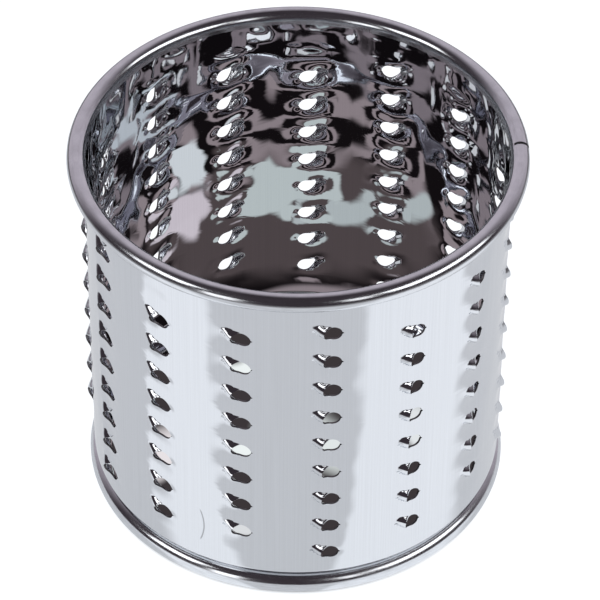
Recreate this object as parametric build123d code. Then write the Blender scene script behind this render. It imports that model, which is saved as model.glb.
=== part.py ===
"""Grater drum: one stainless sheet, rolled, curled at both edges and punched with teeth."""

import os
from math import cos, hypot, pi, radians, sin, sqrt

from build123d import *

# Driving dimensions in millimetres
RIM_OUTER_R = 50.0
TOP_CURL_R = 2.05
BOTTOM_CURL_R = 2.5
BOTTOM_OVERHANG = 1.0
SHEET = 0.5
HEIGHT = 91.0
SHOULDER_RISE = 4.0

# Tooth grid
COLUMNS = 15
STAGGER_CYCLE = 3
FIRST_COLUMN_DEG = -81.6
ROW_PITCH = 8.19
ROWS_BY_PHASE = (9, 8, 8)
TOP_ROW_DROP = 9.6
STAGGER_DROP = ROW_PITCH * 2 / STAGGER_CYCLE

# Strip that the punch leaves flat under each column
FLAT_HALF_WIDTH = 3.6
FLAT_MARGIN = 3.5

# One tooth
TOOTH_HALF_HEIGHT = 1.95
TOOTH_RISE = 1.05
DOME_LENGTH = 2.9
HOLE_LENGTH = 3.3
TOOTH_TILT_DEG = 19.0
LIP_SHIFT = 0.4
LIP_LEAN = 0.45
CREST_SHARE = 0.5
END_SHARE = 0.35
LIP_SHEET = 0.3
HOLLOW_BACK = 0.8
LIP_CLEAR = 0.1

# Curl sections
CURL_TURN_DEG = 270.0
OUTSIDE_STEPS = 6
HOLLOW_STEPS = 3
CUT_MARGIN = 0.6

# Seam of the upper curl
SEAM_DEG = 4.0
SEAM_GAP = 0.3

# Values that follow from the ones above
WALL_INNER_R = RIM_OUTER_R - 2 * TOP_CURL_R
WALL_OUTER_R = WALL_INNER_R + SHEET
TOP_CENTRE_Z = HEIGHT - TOP_CURL_R
BOTTOM_CENTRE_R = WALL_OUTER_R + BOTTOM_OVERHANG - BOTTOM_CURL_R
NECK_INNER_R = BOTTOM_CENTRE_R - BOTTOM_CURL_R
SHOULDER_Z = BOTTOM_CURL_R + SHOULDER_RISE
FLAT_OUTER = sqrt(WALL_OUTER_R**2 - FLAT_HALF_WIDTH**2)
ROW_SPAN = (ROWS_BY_PHASE[0] - 1) * ROW_PITCH
FLAT_TOP_Z = TOP_CENTRE_Z - TOP_ROW_DROP + FLAT_MARGIN
FLAT_LENGTH = ROW_SPAN + 2 * FLAT_MARGIN


def curl_points(centre_r, centre_z, radius, steps, upward):
    """Points of a curl that starts at the drum's inner side and turns outward."""
    way = 1 if upward else -1
    points = []
    for step in range(steps + 1):
        angle = pi - radians(CURL_TURN_DEG) * step / steps
        points.append((centre_r + radius * cos(angle), centre_z + way * radius * sin(angle)))
    return points


def sheet_section():
    """Closed section of the sheet: its inner face, then its outer face back."""
    top_centre_r = RIM_OUTER_R - TOP_CURL_R
    inner_top = curl_points(top_centre_r, TOP_CENTRE_Z, TOP_CURL_R, OUTSIDE_STEPS, True)
    outer_top = curl_points(top_centre_r, TOP_CENTRE_Z, TOP_CURL_R - SHEET, HOLLOW_STEPS, True)
    inner_low = curl_points(BOTTOM_CENTRE_R, BOTTOM_CURL_R, BOTTOM_CURL_R, OUTSIDE_STEPS, False)
    outer_low = curl_points(BOTTOM_CENTRE_R, BOTTOM_CURL_R, BOTTOM_CURL_R - SHEET, HOLLOW_STEPS, False)
    neck_run = WALL_INNER_R - NECK_INNER_R
    # How far the shoulder's outer corner drops to keep the sheet's thickness through the sloping neck
    corner_drop = SHEET * (hypot(neck_run, SHOULDER_RISE) - SHOULDER_RISE) / neck_run
    inner_shoulder = [(WALL_INNER_R, SHOULDER_Z)]
    outer_shoulder = [(WALL_OUTER_R, SHOULDER_Z - corner_drop)]
    inner_face = inner_low[::-1] + inner_shoulder + inner_top
    outer_face = outer_top[::-1] + outer_shoulder + outer_low
    return inner_face + outer_face


def rolled_sheet():
    """The plain rolled sheet with both curls."""
    profile = Face(Wire.make_polygon([(r, 0, z) for r, z in sheet_section()], close=True))
    return revolve(profile, Axis.Z, 360)


def solid_of(faces):
    """A solid from flat faces given by their corner points."""
    return Solid(Shell([Face(Wire.make_polygon(points, close=True)) for points in faces]))


def raised_dome():
    """The half-cone beside the hole, its lip leaning back, on the flat strip."""
    crest_half = TOOTH_HALF_HEIGHT * CREST_SHARE
    crest_x = -LIP_LEAN * TOOTH_RISE
    tip = (-DOME_LENGTH, 0, 0)
    lip = [
        (0, 0, -TOOTH_HALF_HEIGHT),
        (crest_x, TOOTH_RISE, -crest_half),
        (crest_x, TOOTH_RISE, crest_half),
        (0, 0, TOOTH_HALF_HEIGHT),
    ]
    sides = [[lip[i], lip[i + 1], tip] for i in range(3)]
    return solid_of([lip, [lip[0], lip[3], tip]] + sides)


def hollow_under_dome(half, through):
    """The dish pressed from inside, open at the lip."""
    crest_rise = TOOTH_RISE - LIP_SHEET
    tip = (HOLLOW_BACK - DOME_LENGTH, -through, 0)
    crest = (LIP_CLEAR - LIP_LEAN * crest_rise, crest_rise, 0)
    feet = [(0, -through, -half), (0, 0, -half), (0, 0, half), (0, -through, half)]
    sides = [[feet[0], feet[1], tip], [feet[1], crest, tip], [crest, feet[2], tip], [feet[2], feet[3], tip]]
    return solid_of([feet, [feet[1], crest, feet[2]], [feet[3], feet[0], tip]] + sides)


def pierced_hole(half, through):
    """The hole beside the dome, narrowing to its far end."""
    end = half * END_SHARE
    outline = [(0, -half), (HOLE_LENGTH, -end), (HOLE_LENGTH, end), (0, half)]
    base = Face(Wire.make_polygon([(x, -through, z) for x, z in outline], close=True))
    return Solid.extrude(base, Vector(0, through + CUT_MARGIN, 0))


def tooth_bodies():
    """One tooth on a flat strip: what is raised and what is cut away."""
    half = TOOTH_HALF_HEIGHT - LIP_SHEET
    through = SHEET + CUT_MARGIN
    return raised_dome(), hollow_under_dome(half, through), pierced_hole(half, through)


def on_column(column, height):
    """Location on a column's flat strip, its second axis pointing outward."""
    angle = FIRST_COLUMN_DEG + 360 * column / COLUMNS
    return Location((0, 0, height), (0, 0, angle - 90)) * Location((0, FLAT_OUTER, 0))


def flattened_sheet():
    """The rolled sheet with a flat strip under each column of teeth."""
    width = 2 * FLAT_HALF_WIDTH + CUT_MARGIN
    shaved = Location((0, CUT_MARGIN, 0)) * Box(width, 2 * CUT_MARGIN, FLAT_LENGTH)
    backing = Location((0, -SHEET * 0.75, 0)) * Box(2 * FLAT_HALF_WIDTH, SHEET / 2, FLAT_LENGTH)
    spots = [on_column(column, FLAT_TOP_Z - FLAT_LENGTH / 2) for column in range(COLUMNS)]
    drum = rolled_sheet().fuse(*[spot * backing for spot in spots])
    return drum.cut(*[spot * shaved for spot in spots])


def tooth_places():
    """Locations of every tooth's lip, the tooth tilted so that its hole end is the lower one."""
    stance = Location((LIP_SHIFT, 0, 0), (0, -TOOTH_TILT_DEG, 0))
    places = []
    for column in range(COLUMNS):
        phase = column % STAGGER_CYCLE
        drop = TOP_ROW_DROP + (phase * STAGGER_DROP) % ROW_PITCH
        for row in range(ROWS_BY_PHASE[phase]):
            places.append(on_column(column, TOP_CENTRE_Z - drop - row * ROW_PITCH) * stance)
    return places


def punched_drum():
    """The rolled sheet with its teeth and the butt joint of the upper curl."""
    raised, hollow, hole = tooth_bodies()
    mirrored = [body.mirror(Plane.YZ) for body in (raised, hollow, hole)]
    places = tooth_places()
    domes = [mirrored[0].moved(place) for place in places]
    cuts = [body.moved(place) for place in places for body in mirrored[1:]]
    drum = flattened_sheet().fuse(*domes)
    drum = drum.cut(*cuts)
    seam_length = 2 * TOP_CURL_R
    slot = Box(seam_length, SEAM_GAP, 2 * TOP_CURL_R + CUT_MARGIN)
    slot_r = WALL_OUTER_R + seam_length / 2
    return drum - Location((0, 0, 0), (0, 0, SEAM_DEG)) * Location((slot_r, 0, TOP_CENTRE_Z)) * slot


os.makedirs("parts", exist_ok=True)
export_step(punched_drum(), "parts/grater_drum.step")
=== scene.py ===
"""Grater drum in a white studio: one polished steel sheet, rolled, punched and curled at both ends."""

import logging
import math
import random
from dataclasses import dataclass, field
from enum import Enum

import bpy
import numpy as np
from mathutils import Matrix, Vector

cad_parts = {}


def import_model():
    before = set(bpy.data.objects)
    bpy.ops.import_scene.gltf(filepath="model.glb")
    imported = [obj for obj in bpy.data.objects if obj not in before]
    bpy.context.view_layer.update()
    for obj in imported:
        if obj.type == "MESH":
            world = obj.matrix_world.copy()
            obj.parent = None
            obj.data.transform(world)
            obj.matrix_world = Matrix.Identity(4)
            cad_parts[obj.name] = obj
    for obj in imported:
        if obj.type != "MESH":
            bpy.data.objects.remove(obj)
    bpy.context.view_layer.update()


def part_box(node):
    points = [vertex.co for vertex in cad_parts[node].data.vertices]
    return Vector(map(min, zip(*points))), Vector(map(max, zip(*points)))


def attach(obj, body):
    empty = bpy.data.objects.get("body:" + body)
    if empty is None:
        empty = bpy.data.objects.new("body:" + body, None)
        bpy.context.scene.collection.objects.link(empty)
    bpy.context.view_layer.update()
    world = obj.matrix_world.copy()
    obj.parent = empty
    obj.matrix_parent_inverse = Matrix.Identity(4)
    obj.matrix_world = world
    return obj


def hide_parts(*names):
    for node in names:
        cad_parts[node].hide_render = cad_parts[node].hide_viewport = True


LOG = logging.getLogger("grater_drum")
MM = 0.001
NODE = "grater_drum"
UNROLLED = "unrolled"
SHORTEST = 1e-12
NOISE_MIDDLE = 0.5

Colour = tuple[float, float, float]
Pair = tuple[float, float]
Tree = bpy.types.NodeTree
Socket = bpy.types.NodeSocket


class Zone(Enum):
    """Stretch of the sheet, which sets the finish of its faces."""

    WALL = 0
    CURL = 1
    EDGE = 2


class Face(Enum):
    """Side of the sheet, with the sign of its normal."""

    OUTER = 1
    INNER = -1


class Sight(Enum):
    """Rays that see a patch of light: those mirrored in the steel, or those from the camera."""

    MIRRORED = "Is Glossy Ray"
    DIRECT = "Is Camera Ray"


def smooth_step(low: float, high: float, value: np.ndarray) -> np.ndarray:
    """Ease from 0 to 1 between two limits.

    Args:
        low: Value at which the ease starts.
        high: Value at which it ends.
        value: Values to ease.

    Returns:
        Eased values from 0 to 1.
    """
    t = np.clip((value - low) / (high - low), 0.0, 1.0)
    return t * t * (3.0 - 2.0 * t)


def unit(vectors: np.ndarray) -> np.ndarray:
    """Scale vectors to length one.

    Args:
        vectors: Array whose last axis holds the components.

    Returns:
        Array of the same shape.
    """
    return vectors / np.maximum(np.linalg.norm(vectors, axis=-1, keepdims=True), SHORTEST)


@dataclass(frozen=True)
class DrumSizes:
    """Sizes of the rolled sheet in millimetres."""

    rim_radius: float
    height: float
    sheet: float = 0.5
    top_curl: float = 2.05
    low_curl: float = 2.5
    shoulder_rise: float = 4.6
    low_overhang: float = 1.0
    low_curl_turn: float = math.radians(280.0)
    top_curl_turn: float = math.radians(300.0)

    @property
    def wall_inner(self) -> float:
        """Radius of the wall's inner face."""
        return self.rim_radius - 2.0 * self.top_curl

    @property
    def wall_outer(self) -> float:
        """Radius of the wall's outer face."""
        return self.wall_inner + self.sheet

    @property
    def top_centre_z(self) -> float:
        """Height of the upper curl's centre."""
        return self.height - self.top_curl

    @property
    def top_centre_r(self) -> float:
        """Radius of the upper curl's centre line."""
        return self.rim_radius - self.top_curl

    @property
    def low_centre_r(self) -> float:
        """Radius of the lower curl's centre line."""
        return self.wall_outer + self.low_overhang - self.low_curl


@dataclass(frozen=True)
class ToothGrid:
    """Places of the teeth: columns round the wall, staggered in a cycle of phases."""

    columns: int = 15
    first: float = math.radians(-81.6)
    pitch: float = 8.19
    rows: tuple[int, ...] = (9, 8, 8)
    top_drop: float = 9.6
    cell_rows: int = 6
    cell_columns: int = 12

    @property
    def step(self) -> float:
        """Angle from one column to the next."""
        return math.tau / self.columns

    @property
    def grid_rise(self) -> float:
        """Height of one grid row."""
        return self.pitch / self.cell_rows

    @property
    def wall_rows(self) -> int:
        """Grid rows in the toothed stretch of the wall."""
        return self.rows[0] * self.cell_rows

    def offset(self, phase: int) -> int:
        """Grid rows from the top of the toothed stretch to a phase's first cell."""
        return (phase * 2 * self.cell_rows // len(self.rows)) % self.cell_rows

    def drops(self) -> np.ndarray:
        """Depth of each phase's first tooth below the upper curl's centre."""
        return np.array([self.top_drop + self.offset(p) * self.grid_rise for p in range(len(self.rows))])


@dataclass(frozen=True)
class Tooth:
    """One punched tooth in millimetres: a hole, and beside it a half-cone pushed outward and upward."""

    half_height: float = 1.9
    rise: float = 1.1
    dome_length: float = 3.4
    dome_bow: float = 0.6
    rise_bow: float = 0.9
    dome_slant: float = 0.55
    hole_slant: float = 0.12
    slant_ease: float = 0.6
    lip_place: float = -0.4
    lip_drop: float = 0.7
    hole_centre: float = 1.45
    hole_half: float = 1.75
    hole_right: float = 1.85
    hole_left: float = 1.75
    notch: float = 0.4
    lean: float = 0.55
    tip_share: float = 1e-6
    fade: float = 1.5
    dent_depth: float = 0.16
    dent_place: float = 3.4
    dent_reach: float = 1.2
    foot_depth: float = 0.25
    foot_place: float = -1.0
    foot_reach: tuple[float, float] = (2.4, 2.2)
    ripple_depth: float = 0.075
    ripple_reach: float = 8.5
    rings: tuple[float, ...] = (0.0, 0.03, 0.07, 0.12, 0.18, 0.26, 0.36, 0.6)

    def axis(self, along: np.ndarray) -> np.ndarray:
        """Height of the tooth's bent axis above its lip.

        Args:
            along: Distance round the drum from the lip.

        Returns:
            Height in millimetres.
        """
        back = (np.hypot(along, self.slant_ease) - along - self.slant_ease) / 2.0
        return self.dome_slant * back - self.hole_slant * along

    def local(self, along: np.ndarray, up: np.ndarray) -> tuple[np.ndarray, np.ndarray]:
        """Turn places in a tooth's cell into places along and across the tooth.

        Args:
            along: Distance round the drum from the column's line.
            up: Height above the cell's middle.

        Returns:
            Distance from the lip and height above the bent axis.
        """
        own = along - self.lip_place
        return own, up + self.lip_drop - self.axis(own)

    def hole_outline(self, count: int) -> np.ndarray:
        """Outline of the hole in its cell, from its far end and counter-clockwise.

        Args:
            count: Number of points.

        Returns:
            Array of points (along, up).
        """
        angle = np.arange(count) * math.tau / count
        reach = np.where(np.cos(angle) > 0, self.hole_right, self.hole_left)
        reach = reach + np.where(np.arange(count) == 0, self.notch, 0.0)
        own = self.hole_centre + reach * np.cos(angle)
        up = self.hole_half * np.sin(angle) + self.axis(own) - self.lip_drop
        return np.stack([own + self.lip_place, up], axis=1)

    def dome(self, own: np.ndarray, off: np.ndarray) -> np.ndarray:
        """Rise of the half-cone above the sheet.

        Args:
            own: Distance from the lip, positive into the hole.
            off: Height above the tooth's axis.

        Returns:
            Rise in millimetres.
        """
        share = np.clip((own + self.dome_length) / self.dome_length, self.tip_share, 1.0)
        past = np.clip(own / self.fade, 0.0, 1.0)
        width = self.half_height * share**self.dome_bow
        bow = np.clip(1.0 - (off / width) ** 2, 0.0, 1.0)
        return self.rise * share**self.rise_bow * bow * (1.0 - past) ** 2

    def dents(self, own: np.ndarray, off: np.ndarray) -> np.ndarray:
        """Soft shapes that the punch leaves round the tooth.

        Args:
            own: Distance from the lip, positive into the hole.
            off: Height above the tooth's axis.

        Returns:
            Rise in millimetres, negative inward.
        """
        far = ((own - self.dent_place) / self.dent_reach) ** 2 + (off / self.dent_reach) ** 2
        foot = ((own - self.foot_place) / self.foot_reach[0]) ** 2 + (off / self.foot_reach[1]) ** 2
        return self.foot_depth * np.exp(-foot) - self.dent_depth * np.exp(-far)

    def ripple(self, along: np.ndarray, turn: np.ndarray) -> np.ndarray:
        """Shallow waves that a column of teeth draws into the sheet.

        Args:
            along: Distance round the drum from the column's line.
            turn: Height in the cycle of the column's pitch, in radians.

        Returns:
            Rise in millimetres.
        """
        window = np.clip(1.0 - (along / self.ripple_reach) ** 2, 0.0, 1.0) ** 2
        return self.ripple_depth * window * np.cos(turn)


@dataclass(frozen=True)
class Waviness:
    """Slow unevenness of the rolled wall, as a sum of waves round and along it."""

    depth: float = 0.06
    waves: int = 9
    round_counts: tuple[int, int] = (9, 30)
    along_lengths: tuple[float, float] = (16.0, 60.0)
    seed: int = 5

    def rise(self, theta: np.ndarray, z: np.ndarray) -> np.ndarray:
        """Rise of the wall.

        Args:
            theta: Azimuth in radians.
            z: Height in millimetres.

        Returns:
            Rise in millimetres.
        """
        draw = random.Random(self.seed)
        total = np.zeros_like(theta)
        for _ in range(self.waves):
            count = draw.randint(*self.round_counts)
            length = draw.uniform(*self.along_lengths) * draw.choice((-1, 1))
            shift = draw.uniform(0.0, math.tau)
            total += np.sin(count * theta + math.tau * z / length + shift)
        return total * self.depth / math.sqrt(self.waves)


@dataclass
class MeshParts:
    """Vertices, faces, corner normals and finishes gathered for one mesh."""

    points: list[np.ndarray] = field(default_factory=list)
    normals: list[np.ndarray] = field(default_factory=list)
    flat: list[np.ndarray] = field(default_factory=list)
    faces: list[tuple[int, ...]] = field(default_factory=list)
    corner_normals: list[np.ndarray | None] = field(default_factory=list)
    zones: list[Zone] = field(default_factory=list)
    count: int = 0

    def add_points(self, points: np.ndarray, normals: np.ndarray, flat: np.ndarray) -> np.ndarray:
        """Store vertices.

        Args:
            points: Places in millimetres, any leading shape.
            normals: Surface normals of the same shape.
            flat: Places on the unrolled sheet, two numbers each.

        Returns:
            Vertex numbers with the leading shape.
        """
        shape = points.shape[:-1]
        number = int(np.prod(shape))
        self.points.append(points.reshape(number, 3))
        self.normals.append(normals.reshape(number, 3))
        self.flat.append(flat.reshape(number, 2))
        first = self.count
        self.count += number
        return np.arange(first, first + number).reshape(shape)

    def add_face(self, corners: tuple[int, ...], zone: Zone, normals: np.ndarray | None = None) -> None:
        """Store a face.

        Args:
            corners: Vertex numbers in order.
            zone: Stretch of the sheet.
            normals: Corner normals, where they aren't those of the vertices.
        """
        self.faces.append(tuple(int(c) for c in corners))
        self.corner_normals.append(normals)
        self.zones.append(zone)

    def make(self, name: str) -> bpy.types.Object:
        """Make the object, without the vertices that no face uses.

        Args:
            name: Name of the piece.

        Returns:
            The new object, linked to the scene.
        """
        points = np.concatenate(self.points) * MM
        normals = unit(np.concatenate(self.normals))
        flat = np.concatenate(self.flat)
        used = np.unique([c for face in self.faces for c in face])
        renumber = np.full(self.count, -1)
        renumber[used] = np.arange(len(used))
        mesh = bpy.data.meshes.new(name)
        mesh.from_pydata(points[used].tolist(), [], [[int(renumber[c]) for c in f] for f in self.faces])
        corners, places = [], []
        for face, own in zip(self.faces, self.corner_normals):
            corners.extend(normals[list(face)] if own is None else own)
            round_part = flat[list(face)].copy()
            span = round_part[:, 0].max() - round_part[:, 0].min()
            if span > math.pi:
                round_part[round_part[:, 0] < 0, 0] += math.tau
            places.extend(round_part)
        layer = mesh.uv_layers.new(name=UNROLLED)
        layer.data.foreach_set("uv", np.array(places, dtype=np.float32).ravel())
        mesh.polygons.foreach_set("material_index", [zone.value for zone in self.zones])
        mesh.polygons.foreach_set("use_smooth", [True] * len(self.faces))
        mesh.normals_split_custom_set([tuple(n) for n in corners])
        piece = bpy.data.objects.new(name, mesh)
        bpy.context.scene.collection.objects.link(piece)
        return piece


def feed(tree: Tree, place: Socket, value: Socket | float | Colour) -> None:
    """Give an input its value.

    Args:
        tree: Node tree.
        place: The input.
        value: Socket to link, or constant to set.
    """
    if isinstance(value, Socket):
        tree.links.new(value, place)
    else:
        place.default_value = value


def math_node(tree: Tree, way: str, first: Socket | float, second: Socket | float = 0.0) -> Socket:
    """Add a math node.

    Args:
        tree: Node tree.
        way: Operation.
        first: First operand, a socket or a number.
        second: Second operand, a socket or a number.

    Returns:
        The result's socket.
    """
    node = tree.nodes.new("ShaderNodeMath")
    node.operation = way
    for place, operand in zip(node.inputs, (first, second)):
        feed(tree, place, operand)
    return node.outputs[0]


def vector_node(tree: Tree, way: str, *operands: Socket | Colour) -> bpy.types.Node:
    """Add a vector math node.

    Args:
        tree: Node tree.
        way: Operation.
        operands: Sockets or constant vectors, in order.

    Returns:
        The node.
    """
    node = tree.nodes.new("ShaderNodeVectorMath")
    node.operation = way
    for place, operand in zip(node.inputs, operands):
        feed(tree, place, operand)
    return node


def split_node(tree: Tree, place: Socket) -> bpy.types.Node:
    """Add a node that splits a place into X, Y and Z.

    Args:
        tree: Node tree.
        place: Socket with the place.

    Returns:
        The node.
    """
    node = tree.nodes.new("ShaderNodeSeparateXYZ")
    tree.links.new(place, node.inputs[0])
    return node


def unrolled_node(tree: Tree) -> bpy.types.Node:
    """Add nodes that find the place on the unrolled sheet.

    Args:
        tree: Node tree.

    Returns:
        Node with the azimuth as X and the height as Y.
    """
    place = tree.nodes.new("ShaderNodeUVMap")
    place.uv_map = UNROLLED
    return split_node(tree, place.outputs["UV"])


def ease_node(tree: Tree, value: Socket, middle: float, ease: float) -> Socket:
    """Add a smooth step from 0 to 1.

    Args:
        tree: Node tree.
        value: Socket to step.
        middle: Value at which the step is half way.
        ease: Width of the step.

    Returns:
        The result's socket.
    """
    node = tree.nodes.new("ShaderNodeMapRange")
    node.interpolation_type = "SMOOTHSTEP"
    node.inputs["From Min"].default_value = middle - ease / 2.0
    node.inputs["From Max"].default_value = middle + ease / 2.0
    tree.links.new(value, node.inputs["Value"])
    return node.outputs["Result"]


def fade_node(tree: Tree, value: Socket, middle: float, ease: float) -> Socket:
    """Add a smooth step from 1 to 0, by the arguments of ease_node."""
    return math_node(tree, "SUBTRACT", 1.0, ease_node(tree, value, middle, ease))


def mix_node(
    tree: Tree, factor: Socket, first: Socket | Colour, second: Socket | Colour, blend: str = "MIX"
) -> Socket:
    """Add a node that mixes two colours.

    Args:
        tree: Node tree.
        factor: Share of the second colour.
        first: First colour, a socket or a constant.
        second: Second colour, a socket or a constant.
        blend: Way of mixing.

    Returns:
        The result's socket.
    """
    node = tree.nodes.new("ShaderNodeMix")
    node.data_type = "RGBA"
    node.blend_type = blend
    tree.links.new(factor, node.inputs["Factor"])
    for name, colour in (("A", first), ("B", second)):
        feed(tree, node.inputs[name], colour if isinstance(colour, Socket) else (*colour, 1.0))
    return node.outputs["Result"]


def noise_node(tree: Tree, place: Socket, scale: float, detail: float) -> bpy.types.Node:
    """Add a noise texture.

    Args:
        tree: Node tree.
        place: Socket with the place.
        scale: Scale of the noise.
        detail: Number of finer layers.

    Returns:
        The texture's node.
    """
    node = tree.nodes.new("ShaderNodeTexNoise")
    node.inputs["Scale"].default_value = scale
    node.inputs["Detail"].default_value = detail
    tree.links.new(place, node.inputs["Vector"])
    return node


@dataclass(frozen=True)
class RollingGrain:
    """Fine streaks along one direction of the unrolled sheet, and soft patches of haze."""

    streak_scale: float = 1.0
    streak_detail: float = 3.0
    haze_scale: float = 60.0
    haze_detail: float = 4.0

    def group(self) -> Tree:
        """Make the node group that the steel finishes share.

        Returns:
            Node group with the inputs Stretch Round and Stretch Along and the outputs Streak and Haze.
        """
        group = bpy.data.node_groups.new("rolling_grain", "ShaderNodeTree")
        for way, names in (("INPUT", ("Stretch Round", "Stretch Along")), ("OUTPUT", ("Streak", "Haze"))):
            for name in names:
                group.interface.new_socket(name=name, in_out=way, socket_type="NodeSocketFloat")
        nodes, links = group.nodes, group.links
        source, sink = nodes.new("NodeGroupInput"), nodes.new("NodeGroupOutput")
        place = unrolled_node(group)
        scaled = nodes.new("ShaderNodeCombineXYZ")
        for axis, name in (("X", "Stretch Round"), ("Y", "Stretch Along")):
            stretched = math_node(group, "MULTIPLY", place.outputs[axis], source.outputs[name])
            links.new(stretched, scaled.inputs[axis])
        streak = noise_node(group, scaled.outputs[0], self.streak_scale, self.streak_detail)
        links.new(streak.outputs["Fac"], sink.inputs["Streak"])
        spot = nodes.new("ShaderNodeTexCoord")
        haze = noise_node(group, spot.outputs["Object"], self.haze_scale, self.haze_detail)
        links.new(haze.outputs["Fac"], sink.inputs["Haze"])
        return group


@dataclass(frozen=True)
class Scratch:
    """A curved hairline scratch on the outer wall: its azimuth, and its sizes in millimetres."""

    azimuth: float = math.radians(243.0)
    radius: float = 46.4
    middle: float = 16.6
    half_length: float = 5.0
    bow: float = 1.1
    width: float = 0.28
    end_share: float = 0.8
    end_ease: float = 0.4
    shade: float = 0.45

    def over(self, tree: Tree, colour: Socket) -> Socket:
        """Add the scratch over a colour.

        Args:
            tree: The material's node tree.
            colour: Colour of the clean steel.

        Returns:
            The colour with the scratch.
        """
        place = unrolled_node(tree)
        up = math_node(tree, "SUBTRACT", place.outputs["Y"], self.middle)
        share = math_node(tree, "DIVIDE", up, self.half_length)
        square = math_node(tree, "MULTIPLY", share, share)
        bend = math_node(tree, "MULTIPLY", math_node(tree, "SUBTRACT", 1.0, square), self.bow)
        turn = math_node(tree, "SUBTRACT", place.outputs["X"], self.azimuth)
        along = math_node(tree, "SUBTRACT", math_node(tree, "MULTIPLY", turn, self.radius), bend)
        near = fade_node(tree, math_node(tree, "ABSOLUTE", along), self.width / 2.0, self.width)
        within = fade_node(tree, square, self.end_share, self.end_ease)
        mark = math_node(tree, "MULTIPLY", near, within)
        return mix_node(tree, mark, colour, (self.shade, self.shade, self.shade), "MULTIPLY")


@dataclass(frozen=True)
class SteelFinish:
    """A steel finish with faint grain, whose haze sets the roughness."""

    name: str
    colour: Colour
    roughness: Pair
    stretch: Pair
    grain_height: float
    tint: float
    scratch: Scratch | None = None
    haze_range: Pair = (0.35, 0.7)

    def material(self, grain: Tree) -> bpy.types.Material:
        """Make the material.

        Args:
            grain: The shared grain group.

        Returns:
            The material.
        """
        material = bpy.data.materials.new(self.name)
        material.use_nodes = True
        tree = material.node_tree
        nodes, links = tree.nodes, tree.links
        shader = nodes["Principled BSDF"]
        shader.inputs["Metallic"].default_value = 1.0
        marks = nodes.new("ShaderNodeGroup")
        marks.node_tree = grain
        marks.inputs["Stretch Round"].default_value = self.stretch[0]
        marks.inputs["Stretch Along"].default_value = self.stretch[1]
        darker = tuple(c * (1.0 - self.tint) for c in self.colour)
        lighter = tuple(c * (1.0 + self.tint) for c in self.colour)
        colour = mix_node(tree, marks.outputs["Streak"], darker, lighter)
        if self.scratch is not None:
            colour = self.scratch.over(tree, colour)
        links.new(colour, shader.inputs["Base Color"])
        rough = nodes.new("ShaderNodeMapRange")
        rough.inputs["From Min"].default_value = self.haze_range[0]
        rough.inputs["From Max"].default_value = self.haze_range[1]
        rough.inputs["To Min"].default_value = self.roughness[0]
        rough.inputs["To Max"].default_value = self.roughness[1]
        links.new(marks.outputs["Haze"], rough.inputs["Value"])
        links.new(rough.outputs["Result"], shader.inputs["Roughness"])
        bump = nodes.new("ShaderNodeBump")
        bump.inputs["Strength"].default_value = 1.0
        bump.inputs["Distance"].default_value = self.grain_height * MM
        links.new(marks.outputs["Streak"], bump.inputs["Height"])
        links.new(bump.outputs["Normal"], shader.inputs["Normal"])
        return material


# Finishes of the one steel, in the order of the zones; the cut edges' dark colour is painted shade
STEEL: Colour = (0.7, 0.72, 0.755)
FINISHES = (
    SteelFinish(
        name="polished_wall",
        colour=STEEL,
        roughness=(0.012, 0.045),
        stretch=(170.0, 0.02),
        grain_height=0.0003,
        tint=0.06,
        scratch=Scratch(),
    ),
    SteelFinish(
        name="satin_curl",
        colour=STEEL,
        roughness=(0.14, 0.24),
        stretch=(14.0, 3.0),
        grain_height=0.0008,
        tint=0.2,
    ),
    SteelFinish(
        name="cut_edge_painted_shade",
        # Darker than the steel: painted shade along the cut edges of the holes, the ends and the seam;
        # rougher as a cut edge
        colour=(0.2, 0.19, 0.2),
        roughness=(0.45, 0.6),
        stretch=(900.0, 3.0),
        grain_height=0.002,
        tint=0.2,
    ),
)


@dataclass(frozen=True)
class SheetGrid:
    """Vertex numbers of both faces by row and azimuth, with each row's zone and turn along the upper curl."""

    faces: dict[Face, np.ndarray]
    zones: tuple[Zone, ...]
    turns: tuple[float, ...]


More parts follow.
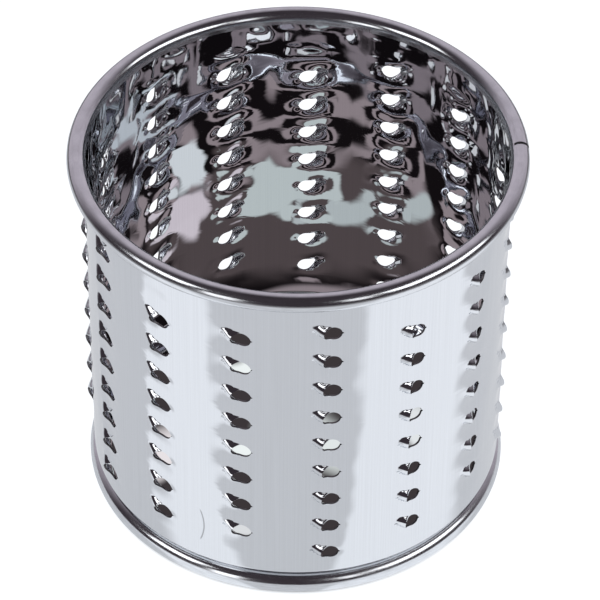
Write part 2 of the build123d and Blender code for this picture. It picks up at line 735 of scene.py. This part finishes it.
@dataclass
class Drum:
    """The whole drum: wall with teeth, neck, and both curls."""

    sizes: DrumSizes
    grid: ToothGrid = field(default_factory=ToothGrid)
    tooth: Tooth = field(default_factory=Tooth)
    waviness: Waviness = field(default_factory=Waviness)
    flat_half_width: float = 3.6
    flat_blend: float = 0.03
    end_ease: float = 3.0
    curl_steps: int = 18
    neck_steps: int = 12
    plain_steps: int = 6
    seam: float = math.radians(2.0)
    seam_gap: float = 0.8
    seam_start: float = math.radians(40.0)
    probe: float = 0.01
    finishes: tuple[SteelFinish, ...] = FINISHES
    parts: MeshParts = field(default_factory=MeshParts)

    @property
    def teeth_top(self) -> float:
        """Height at which the toothed stretch ends."""
        return self.sizes.top_centre_z - self.grid.top_drop + self.grid.pitch / 2.0

    @property
    def teeth_bottom(self) -> float:
        """Height at which the toothed stretch starts."""
        return self.teeth_top - self.grid.wall_rows * self.grid.grid_rise

    @property
    def first_row(self) -> int:
        """Row of the section at which the toothed stretch starts."""
        return self.curl_steps + self.neck_steps

    @property
    def seam_square(self) -> int:
        """Grid square round the drum that holds the seam of the upper curl."""
        azimuth = self.azimuths()
        return int(np.floor((self.seam - azimuth[0]) / (azimuth[1] - azimuth[0])))

    def azimuths(self) -> np.ndarray:
        """Work out the grid lines round the drum.

        Returns:
            Azimuth of every grid line.
        """
        count = self.grid.columns * self.grid.cell_columns
        start = self.grid.first - self.grid.step / 2.0
        return start + np.arange(count) * math.tau / count

    def wall_point(self, theta: np.ndarray, z: np.ndarray, face: Face) -> np.ndarray:
        """Places on the toothed wall.

        Args:
            theta: Azimuth on the unpunched sheet.
            z: Height.
            face: Side of the sheet.

        Returns:
            Points in millimetres.
        """
        grid, tooth, outer = self.grid, self.tooth, self.sizes.wall_outer
        column = np.round((theta - grid.first) / grid.step)
        phase = np.mod(column, len(grid.rows)).astype(int)
        along = (theta - grid.first - column * grid.step) * outer
        first_z = self.sizes.top_centre_z - grid.drops()[phase]
        last = np.array(grid.rows)[phase] - 1
        row = np.clip(np.round((first_z - z) / grid.pitch), 0, last)
        up = z - first_z + row * grid.pitch
        flat = math.sqrt(outer**2 - self.flat_half_width**2) / np.cos(along / outer)
        dip = (flat - outer - np.hypot(flat - outer, self.flat_blend)) / 2.0
        dome = tooth.dome(*tooth.local(along, up))
        soft = dip + tooth.ripple(along, math.tau * up / grid.pitch)
        for step in (-1, 0, 1):
            there = (row + step >= 0) & (row + step <= last)
            soft = soft + there * tooth.dents(*tooth.local(along, up + step * grid.pitch))
        rim_z = self.sizes.top_centre_z
        low_ease = smooth_step(self.teeth_bottom, self.teeth_bottom + self.end_ease, z)
        top_ease = 1.0 - smooth_step(self.teeth_top - self.end_ease, self.teeth_top, z)
        rim_ease = 1.0 - smooth_step(rim_z - self.end_ease, rim_z, z)
        rise = dome + low_ease * top_ease * soft + low_ease * rim_ease * self.waviness.rise(theta, z)
        turned = theta - tooth.lean * dome / outer
        radius = outer + rise - (self.sizes.sheet if face is Face.INNER else 0.0)
        return np.stack([radius * np.cos(turned), radius * np.sin(turned), z], axis=-1)

    def wall_vertices(self, theta: np.ndarray, z: np.ndarray, face: Face) -> np.ndarray:
        """Store vertices of the toothed wall with their normals.

        Args:
            theta: Azimuth on the unpunched sheet.
            z: Height.
            face: Side of the sheet.

        Returns:
            Vertex numbers.
        """
        turn = self.probe / self.sizes.wall_outer
        side = self.wall_point(theta + turn, z, face) - self.wall_point(theta - turn, z, face)
        rise = self.wall_point(theta, z + self.probe, face) - self.wall_point(theta, z - self.probe, face)
        normal = unit(np.cross(side, rise)) * face.value
        return self.parts.add_points(self.wall_point(theta, z, face), normal, np.stack([theta, z], axis=-1))

    def profile(self) -> tuple[np.ndarray, np.ndarray, tuple[Zone, ...], tuple[float, ...]]:
        """Section of the sheet's inner face, from the lower curl's end to the upper curl's end.

        Returns:
            Points (radius, height), unit tangents, the zone of each and how far each is along the upper curl.
        """
        s = self.sizes
        rows = []
        for k in range(self.curl_steps + 1):
            a = math.pi - s.low_curl_turn * (1.0 - k / self.curl_steps)
            place = (s.low_centre_r + s.low_curl * math.cos(a), s.low_curl - s.low_curl * math.sin(a))
            rows.append((place, (-math.sin(a), -math.cos(a)), Zone.CURL, 0.0))
        neck_low = s.low_centre_r - s.low_curl
        run = s.wall_inner - neck_low
        for k in range(1, self.neck_steps):
            t = k / (self.neck_steps - 1)
            place = (neck_low + run * t * t * (3.0 - 2.0 * t), s.low_curl + s.shoulder_rise * t)
            rows.append((place, (run * 6.0 * t * (1.0 - t), s.shoulder_rise), Zone.WALL, 0.0))
        for k in range(self.grid.wall_rows + 1):
            place = (s.wall_inner, self.teeth_bottom + k * self.grid.grid_rise)
            rows.append((place, (0.0, 1.0), Zone.WALL, 0.0))
        for k in range(1, self.plain_steps):
            place = (s.wall_inner, self.teeth_top + (s.top_centre_z - self.teeth_top) * k / self.plain_steps)
            rows.append((place, (0.0, 1.0), Zone.WALL, 0.0))
        for k in range(self.curl_steps + 1):
            turn = s.top_curl_turn * k / self.curl_steps
            b = math.pi - turn
            place = (s.top_centre_r + s.top_curl * math.cos(b), s.top_centre_z + s.top_curl * math.sin(b))
            rows.append((place, (math.sin(b), -math.cos(b)), Zone.CURL, turn))
        points, tangents, zones, turns = zip(*rows)
        return np.array(points), unit(np.array(tangents)), zones, turns

    def ring_vertices(self, theta: np.ndarray, place: np.ndarray, out: np.ndarray, face: Face) -> np.ndarray:
        """Store one ring of vertices outside the toothed stretch.

        Args:
            theta: Azimuth of each vertex.
            place: Radius and height of the ring on the inner face.
            out: Direction from the inner face to the outer one in the section.
            face: Side of the sheet.

        Returns:
            Vertex numbers.
        """
        r, z = place + (out * self.sizes.sheet if face is Face.OUTER else 0.0)
        around = np.stack([np.cos(theta), np.sin(theta), np.ones_like(theta)], axis=1)
        ring = around * (r, r, z)
        normal = around * (out[0], out[0], out[1]) * face.value
        return self.parts.add_points(ring, normal, np.stack([theta, np.full_like(theta, place[1])], axis=1))

    def sheet_vertices(self) -> SheetGrid:
        """Store the grid of vertices of both faces of the sheet.

        Returns:
            The grid of the sheet.
        """
        points, tangents, zones, turns = self.profile()
        azimuth, gap = self.azimuths(), self.seam_square
        half_gap = self.seam_gap / 2.0 / self.sizes.top_centre_r
        last_row = self.first_row + self.grid.wall_rows + self.plain_steps - 1
        numbers: dict[Face, list[np.ndarray]] = {face: [] for face in Face}
        away = np.stack([tangents[:, 1], -tangents[:, 0]], axis=1)
        for row, (place, out, turn) in enumerate(zip(points, away, turns)):
            theta = azimuth.copy()
            if turn >= self.seam_start:
                theta[gap] = self.seam - half_gap
                theta[gap + 1] = self.seam + half_gap
            for face in Face:
                if self.first_row <= row <= last_row:
                    made = self.wall_vertices(theta, np.full_like(theta, place[1]), face)
                else:
                    made = self.ring_vertices(theta, place, out, face)
                numbers[face].append(made)
        return SheetGrid({face: np.array(rings) for face, rings in numbers.items()}, zones, turns)

    def rim_of_cell(self, numbers: np.ndarray, low: int, left: int) -> np.ndarray:
        """Grid vertices round one tooth's cell, from the middle of its far side and counter-clockwise.

        Args:
            numbers: Vertex numbers by row and azimuth.
            low: Grid row of the cell's lower side.
            left: Grid column of its left side.

        Returns:
            Vertex numbers in order.
        """
        high, wide = self.grid.cell_rows, self.grid.cell_columns
        middle = high // 2
        path = [(middle + k, wide) for k in range(high - middle)]
        path += [(high, wide - k) for k in range(wide)]
        path += [(high - k, 0) for k in range(high)]
        path += [(0, k) for k in range(wide)]
        path += [(k, wide) for k in range(middle)]
        around = numbers.shape[1]
        return np.array([numbers[low + r, (left + c) % around] for r, c in path])

    def rim_places(self, half: Pair) -> np.ndarray:
        """Places round a cell's rim, matching rim_of_cell.

        Args:
            half: Half width and half height of the cell.

        Returns:
            Array of points (along, up).
        """
        wide, high = self.grid.cell_columns, self.grid.cell_rows
        corners = [(1, 0), (1, 1), (-1, 1), (-1, -1), (1, -1), (1, 0)]
        steps = [high - high // 2, wide, high, wide, high // 2]
        places = []
        for start, end, step in zip(corners, corners[1:], steps):
            for k in range(step):
                t = k / step
                places.append([half[i] * (start[i] + (end[i] - start[i]) * t) for i in range(2)])
        return np.array(places)

    def build_cell(self, sheet: SheetGrid, low: int, column: int) -> None:
        """Make one tooth with the sheet round it.

        Args:
            sheet: Grid of the sheet.
            low: Grid row of the cell's lower side.
            column: Number of the column.
        """
        grid, outer_r = self.grid, self.sizes.wall_outer
        left = column * grid.cell_columns
        theta0 = grid.first + column * grid.step
        half = (grid.step * outer_r / 2.0, grid.pitch / 2.0)
        rim = self.rim_places(half)
        count = len(rim)
        hole = self.tooth.hole_outline(count)
        share = np.array(self.tooth.rings)[:, None, None]
        spots = hole[None] + (rim - hole)[None] * share
        theta = theta0 + spots[..., 0] / outer_r
        middle_z = self.teeth_bottom + (low - self.first_row) * grid.grid_rise + half[1]
        rings = {}
        for face, numbers in sheet.faces.items():
            made = self.wall_vertices(theta, middle_z + spots[..., 1], face)
            rings[face] = np.vstack([made, self.rim_of_cell(numbers, low, left)[None]])
        for level in range(len(self.tooth.rings)):
            for m in range(count):
                n = (m + 1) % count
                a, b = rings[Face.OUTER][level], rings[Face.OUTER][level + 1]
                self.parts.add_face((a[m], b[m], b[n], a[n]), Zone.WALL)
                a, b = rings[Face.INNER][level], rings[Face.INNER][level + 1]
                self.parts.add_face((a[n], b[n], b[m], a[m]), Zone.WALL)
        self.build_hole_edge(rings[Face.OUTER][0], rings[Face.INNER][0], hole, theta0)

    def build_hole_edge(self, outer: np.ndarray, inner: np.ndarray, hole: np.ndarray, theta0: float) -> None:
        """Make the cut edge of one hole.

        Args:
            outer: Outer vertex numbers round the hole.
            inner: Inner vertex numbers round the hole.
            hole: Hole outline on the flat sheet.
            theta0: Azimuth of the lip.
        """
        to_middle = unit(hole.mean(axis=0) - hole)
        theta = theta0 + hole[:, 0] / self.sizes.wall_outer
        round_way = np.stack([-np.sin(theta), np.cos(theta), 0 * theta], axis=1)
        normal = round_way * to_middle[:, :1] + np.array([[0.0, 0.0, 1.0]]) * to_middle[:, 1:]
        count = len(outer)
        for m in range(count):
            n = (m + 1) % count
            own = normal[[m, n, n, m]]
            self.parts.add_face((outer[m], outer[n], inner[n], inner[m]), Zone.EDGE, own)

    def in_cell(self, row: int, column: int) -> bool:
        """Tell whether a grid square belongs to a tooth's cell.

        Args:
            row: Row of the section at the square's lower side.
            column: Grid column of its left side.

        Returns:
            True inside a cell.
        """
        up = row - self.first_row
        if not 0 <= up < self.grid.wall_rows:
            return False
        phase = (column // self.grid.cell_columns) % len(self.grid.rows)
        from_top = self.grid.wall_rows - 1 - up - self.grid.offset(phase)
        return 0 <= from_top < self.grid.rows[phase] * self.grid.cell_rows

    def build_plain(self, sheet: SheetGrid) -> None:
        """Make the sheet outside the cells, open at the seam of the upper curl.

        Args:
            sheet: Grid of the sheet.
        """
        outer, inner = sheet.faces[Face.OUTER], sheet.faces[Face.INNER]
        rows, around = outer.shape
        gap = self.seam_square
        for row in range(rows - 1):
            up = row + 1
            zone = Zone.CURL if Zone.CURL in (sheet.zones[row], sheet.zones[up]) else Zone.WALL
            for j in range(around):
                k = (j + 1) % around
                if self.in_cell(row, j) or (j == gap and sheet.turns[row] >= self.seam_start):
                    continue
                self.parts.add_face((outer[row, j], outer[row, k], outer[up, k], outer[up, j]), zone)
                self.parts.add_face((inner[row, j], inner[up, j], inner[up, k], inner[row, k]), zone)

    def build_edges(self, sheet: SheetGrid) -> None:
        """Make the sheet's cut edges: its two free ends and the sides of the seam.

        Args:
            sheet: Grid of the sheet.
        """
        outer, inner = sheet.faces[Face.OUTER], sheet.faces[Face.INNER]
        rows, around = outer.shape
        gap, far = self.seam_square, self.seam_square + 1
        edges = []
        for j in range(around):
            k = (j + 1) % around
            edges.append((outer[0, k], outer[0, j], inner[0, j], inner[0, k]))
            if j != gap:
                edges.append((outer[-1, j], outer[-1, k], inner[-1, k], inner[-1, j]))
        start = next(row for row in range(rows) if sheet.turns[row] >= self.seam_start)
        edges.append((outer[start, gap], outer[start, far], inner[start, far], inner[start, gap]))
        for row in range(start, rows - 1):
            up = row + 1
            edges.append((outer[row, gap], inner[row, gap], inner[up, gap], outer[up, gap]))
            edges.append((outer[up, far], inner[up, far], inner[row, far], outer[row, far]))
        points = np.concatenate(self.parts.points)
        for corners in edges:
            a, b, c, d = points[list(corners)]
            normal = unit(np.cross(c - a, d - b))
            self.parts.add_face(corners, Zone.EDGE, np.repeat(normal[None], len(corners), axis=0))

    def build(self) -> bpy.types.Object:
        """Make the drum's mesh.

        Returns:
            The piece, without materials.
        """
        sheet = self.sheet_vertices()
        for column in range(self.grid.columns):
            phase = column % len(self.grid.rows)
            top = self.first_row + self.grid.wall_rows - self.grid.offset(phase)
            for row in range(self.grid.rows[phase]):
                self.build_cell(sheet, top - (row + 1) * self.grid.cell_rows, column)
        self.build_plain(sheet)
        self.build_edges(sheet)
        return self.parts.make("punched_drum")

    def dress(self, piece: bpy.types.Object) -> None:
        """Give each zone of the drum its finish.

        Args:
            piece: The drum's mesh.
        """
        grain = RollingGrain().group()
        for finish in self.finishes:
            piece.data.materials.append(finish.material(grain))


@dataclass(frozen=True)
class LitSpot:
    """A round patch of light on the table inside the drum, in metres."""

    x: float
    y: float
    radius: float
    ease: float
    colour: Colour
    sight: Sight


@dataclass(frozen=True)
class Dapple:
    """Uneven light that falls through the holes onto the table inside the drum."""

    scale: float = 20.0
    distortion: float = 6.0
    detail_scale: float = 1.6
    threshold: float = 0.62
    ease: float = 0.6
    dark: Colour = (0.008, 0.006, 0.007)
    # Dark colour that camera rays see on the table inside the drum: painted shade
    plain: Colour = (0.045, 0.038, 0.041)
    light: Colour = (0.34, 0.28, 0.295)

    def colour(self, tree: Tree, place: Socket, mirrored: Socket) -> Socket:
        """Add the nodes of the uneven light, which shows in the steel but not on the table itself.

        Args:
            tree: The table's node tree.
            place: Socket with the place on the table.
            mirrored: Socket that is 1 for rays mirrored in the steel.

        Returns:
            The colour's socket.
        """
        bands = tree.nodes.new("ShaderNodeTexWave")
        bands.bands_direction = "Y"
        bands.inputs["Scale"].default_value = self.scale
        bands.inputs["Distortion"].default_value = self.distortion
        bands.inputs["Detail Scale"].default_value = self.detail_scale
        tree.links.new(place, bands.inputs["Vector"])
        lit = ease_node(tree, bands.outputs["Fac"], self.threshold, self.ease)
        return mix_node(tree, mirrored, self.plain, mix_node(tree, lit, self.dark, self.light))


@dataclass(frozen=True)
class LitSector:
    """A sector of the table that a lamp lights more, by angle from the front, positive to the right."""

    start: float
    end: float
    gain: float
    ease: float = math.radians(9.0)


@dataclass(frozen=True)
class SoftLamp:
    """A soft lamp: its bearing from the front, positive to the right, elevation, sizes and energy."""

    name: str
    bearing: float
    elevation: float
    width: float
    height: float
    energy: float
    distance: float = 0.95
    mirrored: bool = True


@dataclass(frozen=True)
class Studio:
    """White table with painted pools of light and painted shade inside the drum, dark room with a pale back,
    soft lamps and the camera.
    """

    table_half: float = 1.2
    table_albedo: float = 0.4
    seen_glow: float = 0.95
    table_colour: Colour = (0.97, 1.0, 1.03)
    table_glow: float = 0.56
    table_reach: float = 0.28
    table_ease: float = 0.2
    sector_apex: float = -0.04
    sectors: tuple[LitSector, ...] = (
        LitSector(math.radians(-91.0), math.radians(-55.0), 0.34),
        LitSector(math.radians(43.0), math.radians(105.0), 0.33),
    )
    # Inside this radius the table is painted dark: painted shade of the drum
    shade_radius: float = 0.0455
    shade_ease: float = 0.003
    dapple: Dapple = Dapple()
    torn_scale: float = 75.0
    torn_reach: float = 0.02
    spots: tuple[LitSpot, ...] = (
        LitSpot(-0.002, 0.01, 0.022, 0.01, (0.1, 0.078, 0.08), Sight.MIRRORED),
        LitSpot(0.0175, 0.021, 0.0075, 0.003, (0.76, 0.68, 0.73), Sight.MIRRORED),
        LitSpot(0.0095, 0.024, 0.0042, 0.003, (0.78, 0.7, 0.75), Sight.MIRRORED),
        LitSpot(0.031, 0.012, 0.0078, 0.003, (0.8, 0.84, 0.86), Sight.MIRRORED),
        LitSpot(-0.019, 0.021, 0.006, 0.003, (0.55, 0.6, 0.6), Sight.MIRRORED),
        LitSpot(-0.009, 0.011, 0.006, 0.003, (0.55, 0.6, 0.6), Sight.MIRRORED),
        LitSpot(0.003, 0.001, 0.011, 0.002, (0.62, 0.68, 0.67), Sight.MIRRORED),
        LitSpot(0.005, 0.0, 0.01, 0.006, (0.75, 0.8, 0.8), Sight.DIRECT),
        LitSpot(0.029, 0.008, 0.008, 0.006, (0.75, 0.78, 0.8), Sight.DIRECT),
        LitSpot(-0.0124, -0.0003, 0.005, 0.005, (0.85, 0.9, 0.9), Sight.DIRECT),
        LitSpot(-0.0128, 0.0276, 0.005, 0.005, (0.85, 0.9, 0.9), Sight.DIRECT),
        LitSpot(-0.012, -0.026, 0.005, 0.005, (0.7, 0.72, 0.74), Sight.DIRECT),
        LitSpot(-0.031, 0.0, 0.008, 0.006, (0.8, 0.76, 0.78), Sight.DIRECT),
    )
    back_colour: Colour = (0.56, 0.505, 0.56)
    dark_colour: Colour = (0.045, 0.036, 0.043)
    back_middle: float = 0.45
    back_ease: float = 0.7
    lamps: tuple[SoftLamp, ...] = (
        SoftLamp("left_lamp", math.radians(-65.0), math.radians(35.0), 0.44, 0.36, 1.1),
        SoftLamp("right_lamp", math.radians(70.0), math.radians(35.0), 0.8, 0.36, 2.0),
        SoftLamp("left_strip", math.radians(-33.0), math.radians(11.0), 0.24, 0.44, 0.55),
        SoftLamp("right_strip", math.radians(28.0), math.radians(31.0), 0.15, 0.36, 0.28),
        SoftLamp("top_lamp", 0.0, math.radians(80.0), 0.6, 0.6, 1.0, mirrored=False),
    )
    camera_elevation: float = math.radians(40.1713)
    camera_distance: float = 0.813857
    camera_tilt: float = -0.038998
    camera_pan: float = 0.000802
    camera_roll: float = 0.009098
    camera_clip: float = 0.01
    focal_pixels: float = 3768.9
    picture_pixels: float = 600.0
    sensor: float = 36.0

    def lit_table(self, tree: Tree) -> tuple[Socket, Socket]:
        """Light that the table sends back, with painted pools of light and painted shade inside the drum, and
        where it lies outside the drum.

        Args:
            tree: The table's node tree.

        Returns:
            Sockets with the light's colour and with a mask that is 1 outside the drum.
        """
        nodes = tree.nodes
        place = nodes.new("ShaderNodeTexCoord").outputs["Object"]
        split = split_node(tree, place)
        ahead = math_node(tree, "SUBTRACT", self.sector_apex, split.outputs["Y"])
        bearing = math_node(tree, "ARCTAN2", split.outputs["X"], ahead)
        glow = self.table_glow
        for sector in self.sectors:
            rise = ease_node(tree, bearing, sector.start, sector.ease)
            fall = ease_node(tree, bearing, sector.end, sector.ease)
            inside = math_node(tree, "SUBTRACT", rise, fall)
            glow = math_node(tree, "ADD", glow, math_node(tree, "MULTIPLY", inside, sector.gain))
        reach = vector_node(tree, "DISTANCE", place, (0.0, 0.0, 0.0)).outputs["Value"]
        near = fade_node(tree, reach, self.table_reach, self.table_ease)
        path = nodes.new("ShaderNodeLightPath")
        glossy, direct = path.outputs[Sight.MIRRORED.value], path.outputs[Sight.DIRECT.value]
        mirrored = math_node(tree, "MULTIPLY", glossy, math_node(tree, "MULTIPLY", glow, near))
        seen = math_node(tree, "MULTIPLY", direct, self.seen_glow)
        # Mask that is 0 inside the drum, where the table is painted dark as painted shade
        outside = ease_node(tree, reach, self.shade_radius, self.shade_ease)
        level = math_node(tree, "MULTIPLY", math_node(tree, "ADD", mirrored, seen), outside)
        scaled = vector_node(tree, "SCALE", self.table_colour)
        tree.links.new(level, scaled.inputs["Scale"])
        light = mix_node(tree, outside, self.dapple.colour(tree, place, glossy), scaled.outputs[0])
        torn = self.torn_place(tree, place)
        for spot in self.spots:
            seen_place = torn if spot.sight is Sight.DIRECT else place
            away = vector_node(tree, "DISTANCE", seen_place, (spot.x, spot.y, 0.0)).outputs["Value"]
            within = fade_node(tree, away, spot.radius, spot.ease)
            shown = math_node(tree, "MULTIPLY", within, path.outputs[spot.sight.value])
            light = mix_node(tree, shown, light, spot.colour)
        return light, outside

    def torn_place(self, tree: Tree, place: Socket) -> Socket:
        """Shift places unevenly, so that patches of light get ragged edges.

        Args:
            tree: The table's node tree.
            place: Socket with the place on the table.

        Returns:
            Socket with the shifted place.
        """
        noise = noise_node(tree, place, self.torn_scale, 0.0)
        middle = (NOISE_MIDDLE, NOISE_MIDDLE, NOISE_MIDDLE)
        shift = vector_node(tree, "SUBTRACT", noise.outputs["Color"], middle)
        reach = (self.torn_reach, self.torn_reach, 0.0)
        return vector_node(tree, "MULTIPLY_ADD", shift.outputs[0], reach, place).outputs[0]

    def build_table(self, low: float) -> None:
        """Make the white table under the drum, with its painted light and painted shade.

        Args:
            low: Height of the table top.
        """
        h = self.table_half
        mesh = bpy.data.meshes.new("white_table")
        mesh.from_pydata([(-h, -h, low), (h, -h, low), (h, h, low), (-h, h, low)], [], [(0, 1, 2, 3)])
        table = bpy.data.objects.new("white_table", mesh)
        bpy.context.scene.collection.objects.link(table)
        material = bpy.data.materials.new("white_table")
        material.use_nodes = True
        tree = material.node_tree
        nodes, links = tree.nodes, tree.links
        nodes.remove(nodes["Principled BSDF"])
        light, outside = self.lit_table(tree)
        diffuse = nodes.new("ShaderNodeBsdfDiffuse")
        # No diffuse colour inside the drum: painted shade
        links.new(math_node(tree, "MULTIPLY", outside, self.table_albedo), diffuse.inputs["Color"])
        glow = nodes.new("ShaderNodeEmission")
        links.new(light, glow.inputs["Color"])
        both = nodes.new("ShaderNodeAddShader")
        links.new(diffuse.outputs[0], both.inputs[0])
        links.new(glow.outputs[0], both.inputs[1])
        links.new(both.outputs[0], nodes["Material Output"].inputs["Surface"])
        mesh.materials.append(material)

    def build_room(self) -> None:
        """Set the world: dark above and in front, pale behind."""
        world = bpy.data.worlds.new("studio_room")
        bpy.context.scene.world = world
        world.use_nodes = True
        tree = world.node_tree
        place = tree.nodes.new("ShaderNodeTexCoord")
        split = split_node(tree, place.outputs["Generated"])
        behind = ease_node(tree, split.outputs["Y"], self.back_middle, self.back_ease)
        colour = mix_node(tree, behind, self.dark_colour, self.back_colour)
        tree.links.new(colour, tree.nodes["Background"].inputs["Color"])

    def build_lamps(self, middle: Vector) -> None:
        """Hang the soft lamps.

        Args:
            middle: Point that the lamps face.
        """
        for spec in self.lamps:
            light = bpy.data.lights.new(spec.name, "AREA")
            light.shape = "RECTANGLE"
            light.size, light.size_y = spec.width, spec.height
            light.energy = spec.energy
            flat = Vector((math.sin(spec.bearing), -math.cos(spec.bearing), math.tan(spec.elevation)))
            place = flat.normalized() * spec.distance
            lamp = bpy.data.objects.new(spec.name, light)
            lamp.location = middle + place
            lamp.visible_glossy = spec.mirrored
            lamp.rotation_mode = "QUATERNION"
            lamp.rotation_quaternion = place.to_track_quat("Z", "Y")
            bpy.context.scene.collection.objects.link(lamp)

    def build_camera(self, target: Vector) -> None:
        """Place the camera as it stood for the photograph.

        Args:
            target: Middle of the upper curl.
        """
        back = Vector((0.0, -math.cos(self.camera_elevation), math.sin(self.camera_elevation)))
        ahead = -back
        right = Vector((1.0, 0.0, 0.0))
        ahead = (ahead + self.camera_tilt * right.cross(ahead) + self.camera_pan * right).normalized()
        right = ahead.cross(Vector((0.0, 0.0, 1.0))).normalized()
        up = right.cross(ahead)
        c, s = math.cos(self.camera_roll), math.sin(self.camera_roll)
        right, up = c * right + s * up, c * up - s * right
        data = bpy.data.cameras.new("camera")
        data.sensor_width = self.sensor
        data.lens = self.focal_pixels * self.sensor / self.picture_pixels
        data.clip_start = self.camera_clip
        camera = bpy.data.objects.new("camera", data)
        turn = Matrix((right, up, -ahead)).transposed().to_4x4()
        camera.matrix_world = Matrix.Translation(target + back * self.camera_distance) @ turn
        bpy.context.scene.collection.objects.link(camera)
        bpy.context.scene.camera = camera


def main() -> None:
    """Build the drum, dress it, and set the studio round it."""
    logging.basicConfig(level=logging.INFO)
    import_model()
    low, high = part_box(NODE)
    bpy.context.scene.view_settings.view_transform = "Standard"
    sizes = DrumSizes(rim_radius=(high.x - low.x) / 2.0 / MM, height=(high.z - low.z) / MM)
    drum = Drum(sizes)
    piece = drum.build()
    drum.dress(piece)
    LOG.info("%s has %d faces", piece.name, len(piece.data.polygons))
    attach(piece, "root")
    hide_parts(NODE)
    studio = Studio()
    studio.build_table(low.z)
    studio.build_room()
    studio.build_lamps(Vector((0.0, 0.0, high.z / 2.0)))
    studio.build_camera(Vector((0.0, 0.0, sizes.top_centre_z * MM)))


if __name__ == "__main__":
    main()
